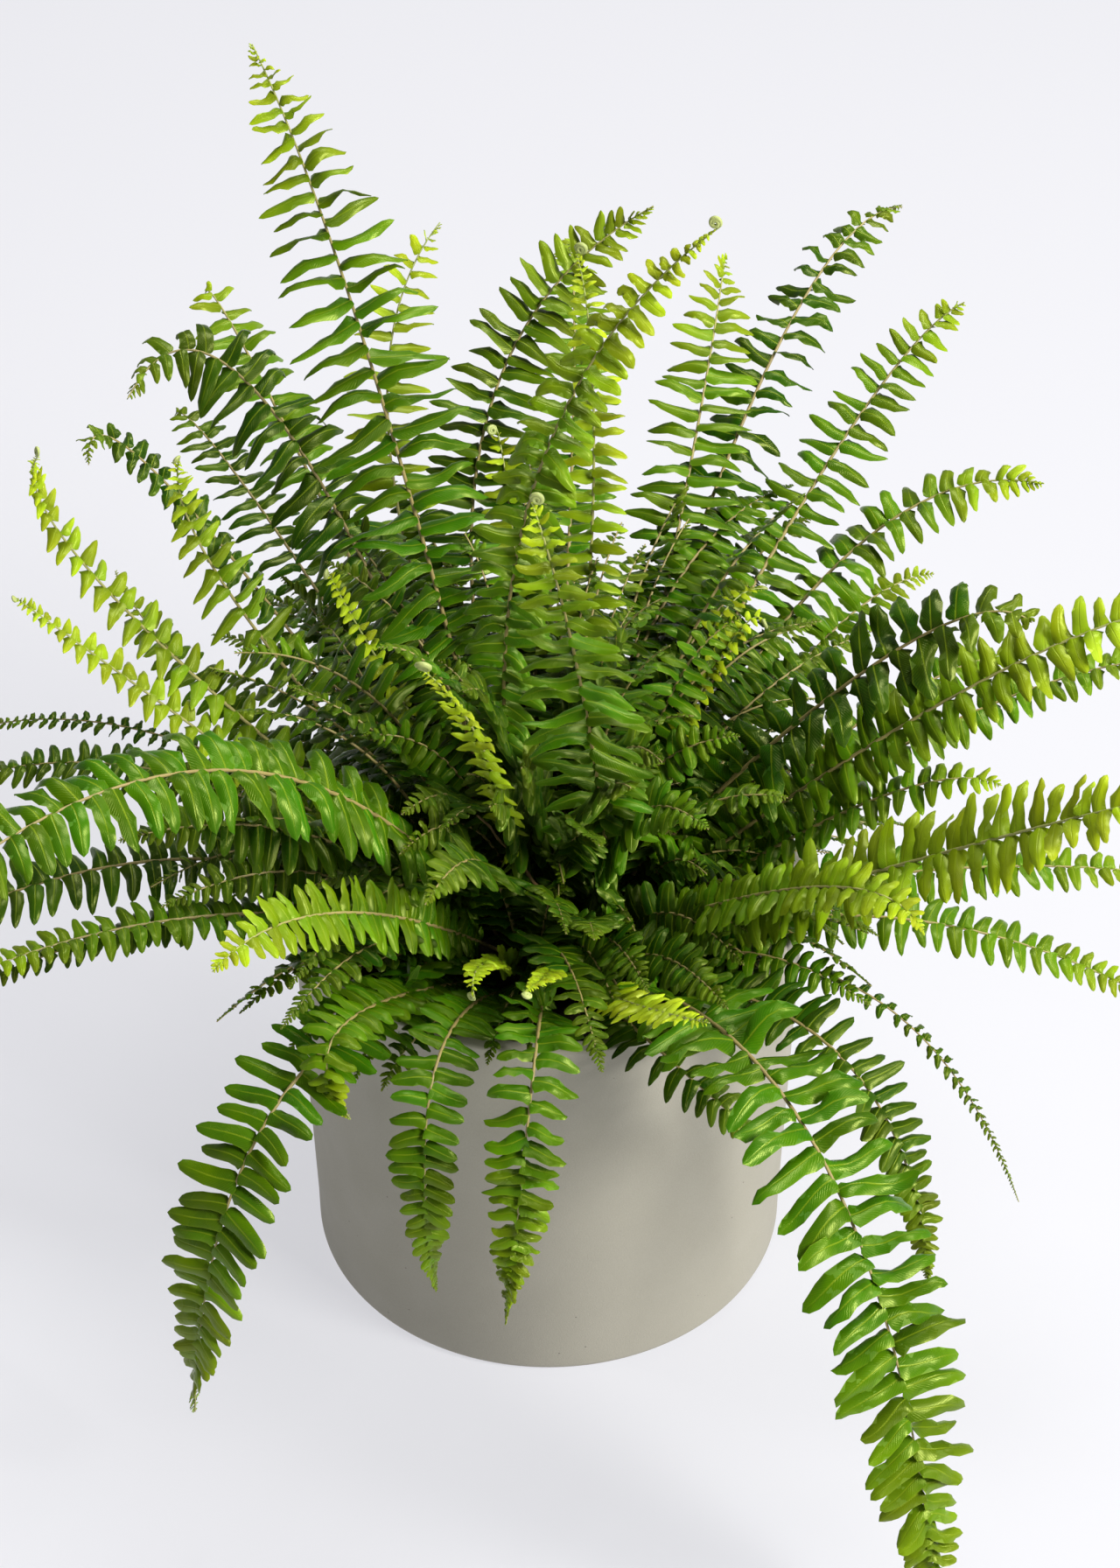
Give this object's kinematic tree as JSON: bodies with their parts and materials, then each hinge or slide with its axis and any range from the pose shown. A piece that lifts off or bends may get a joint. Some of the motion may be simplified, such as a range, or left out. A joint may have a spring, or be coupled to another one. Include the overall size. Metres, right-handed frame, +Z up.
{
  "type": "potted fern",
  "caption": "Sword fern with long arching pinnate fronds growing from a low crown in a plain round straight-sided matte grey planter.",
  "frame": {"origin": "centre of the planter's flat underside, on the surface it stands on", "axes": "+Z up along the planter's axis; -Y is the front, which the long fronds hang over; +X is to the right seen from the front"},
  "size_m": [0.6431, 0.6132, 0.5993],
  "materials": {
    "pot_grey": "matte",
    "soil": "matte",
    "crown": "matte",
    "dried_stem": "matte",
    "leaf_dark": "satin",
    "leaf_mid": "satin",
    "leaf_young": "satin"
  },
  "bodies": {
    "root": {"back_left_arching_frond": "leaf_dark", "back_left_light_frond": "leaf_mid", "back_left_low_frond": "leaf_dark", "back_left_pale_frond": "leaf_mid", "back_right_arching_frond": "leaf_mid", "back_right_dark_frond": "leaf_dark", "back_right_frond": "leaf_mid", "back_right_low_frond": "leaf_mid", "back_right_small_frond": "leaf_young", "back_straight_frond": "leaf_mid", "centre_dark_frond": "leaf_dark", "centre_front_frond": "leaf_young", "centre_near_frond": "leaf_mid", "centre_short_frond": "leaf_young", "centre_yellow_frond": "leaf_young", "dried_midrib": "dried_stem", "front_hanging_frond_left": "leaf_mid", "front_hanging_frond_right": "leaf_mid", "front_left_hanging_frond": "leaf_mid", "front_left_short_frond": "leaf_mid", "front_left_small_frond": "leaf_dark", "front_right_dark_frond": "leaf_dark", "front_right_hanging_frond": "leaf_mid", "front_right_short_frond": "leaf_dark", "front_right_thin_frond": "leaf_dark", "front_small_frond_left": "leaf_young", "front_small_frond_right": "leaf_young", "front_young_frond": "leaf_young", "left_back_frond": "leaf_mid", "left_bright_frond": "leaf_young", "left_curled_frond": "leaf_dark", "left_dark_frond": "leaf_dark", "left_far_pale_frond": "leaf_young", "left_hidden_frond": "leaf_dark", "left_low_pale_frond": "leaf_mid", "left_low_thin_frond": "leaf_dark", "left_near_frond": "leaf_mid", "left_pale_frond": "leaf_young", "left_thin_frond": "leaf_dark", "left_yellow_frond": "leaf_young", "pot": "pot_grey", "potting_soil": "soil", "rear_low_frond_left": "leaf_mid", "rear_low_frond_middle": "leaf_dark", "rear_low_frond_right": "leaf_mid", "rear_upper_frond": "leaf_mid", "rhizome_crown": "crown", "right_back_frond": "leaf_mid", "right_back_low_frond": "leaf_mid", "right_bright_frond": "leaf_young", "right_dark_frond": "leaf_dark", "right_far_yellow_frond": "leaf_young", "right_level_frond": "leaf_mid", "right_low_frond": "leaf_mid", "right_low_grey_frond": "leaf_mid", "right_near_frond": "leaf_young", "right_young_frond": "leaf_young", "tallest_frond": "leaf_mid", "young_curled_frond": "leaf_young", "young_thin_frond": "leaf_young"}
  },
  "joints": []
}
